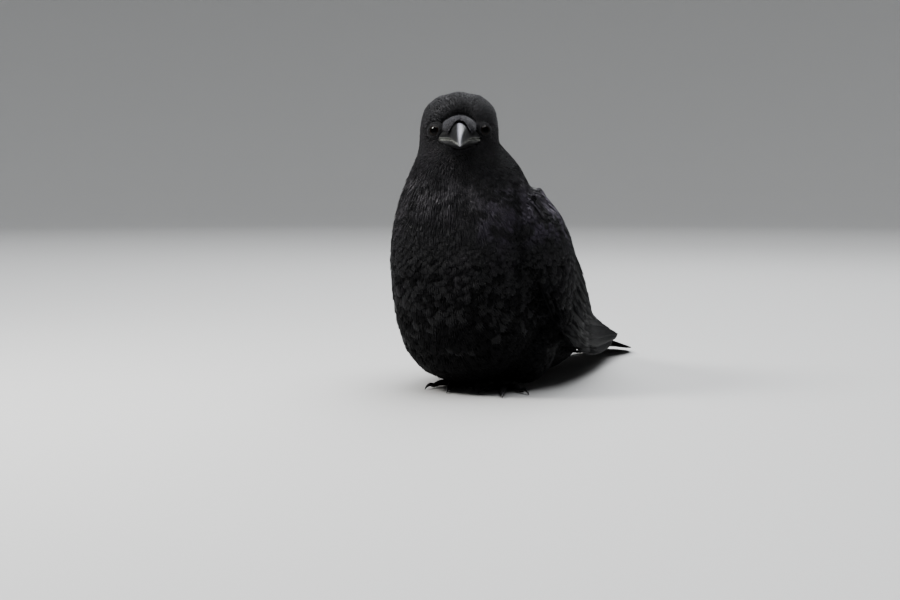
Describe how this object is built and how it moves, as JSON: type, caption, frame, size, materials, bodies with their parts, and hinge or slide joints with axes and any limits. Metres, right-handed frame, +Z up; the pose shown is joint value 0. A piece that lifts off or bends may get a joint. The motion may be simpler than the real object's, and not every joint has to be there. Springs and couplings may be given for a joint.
{
  "type": "carrion crow",
  "caption": "Life-size still model of a fluffed black crow standing upright, head turned to its left, tail and toes on the floor.",
  "frame": {"origin": "middle of the whole bird's footprint box, on the floor", "axes": "+Z up, the body faces -Y and the tail points to +Y, the bird's left side is +X; the head is turned 30 degrees from -Y towards +X"},
  "size_m": [0.1496, 0.3934, 0.2384],
  "materials": {
    "black_plumage": "soft black feathers with a faint violet sheen",
    "glossy_flight_feathers": "satin black vanes with a blue and violet gloss",
    "bill_horn": "polished black horn, worn grey on the ridge",
    "leg_scales": "black scaled skin, satin",
    "claw_horn": "smooth black horn",
    "dark_eye": "wet dark brown"
  },
  "bodies": {
    "root": {"trunk": "black_plumage", "neck": "black_plumage", "head": "black_plumage", "thigh_left": "black_plumage", "thigh_right": "black_plumage", "wing_left": "glossy_flight_feathers", "wing_right": "glossy_flight_feathers", "tail": "glossy_flight_feathers", "bill_upper": "bill_horn", "bill_lower": "bill_horn", "eye_left": "dark_eye", "eye_right": "dark_eye", "tarsus_left": "leg_scales", "tarsus_right": "leg_scales", "toe_left_inner": "leg_scales", "toe_left_middle": "leg_scales", "toe_left_outer": "leg_scales", "toe_left_hind": "leg_scales", "toe_right_inner": "leg_scales", "toe_right_middle": "leg_scales", "toe_right_outer": "leg_scales", "toe_right_hind": "leg_scales", "claw_left_inner": "claw_horn", "claw_left_middle": "claw_horn", "claw_left_outer": "claw_horn", "claw_left_hind": "claw_horn", "claw_right_inner": "claw_horn", "claw_right_middle": "claw_horn", "claw_right_outer": "claw_horn", "claw_right_hind": "claw_horn"}
  },
  "joints": []
}
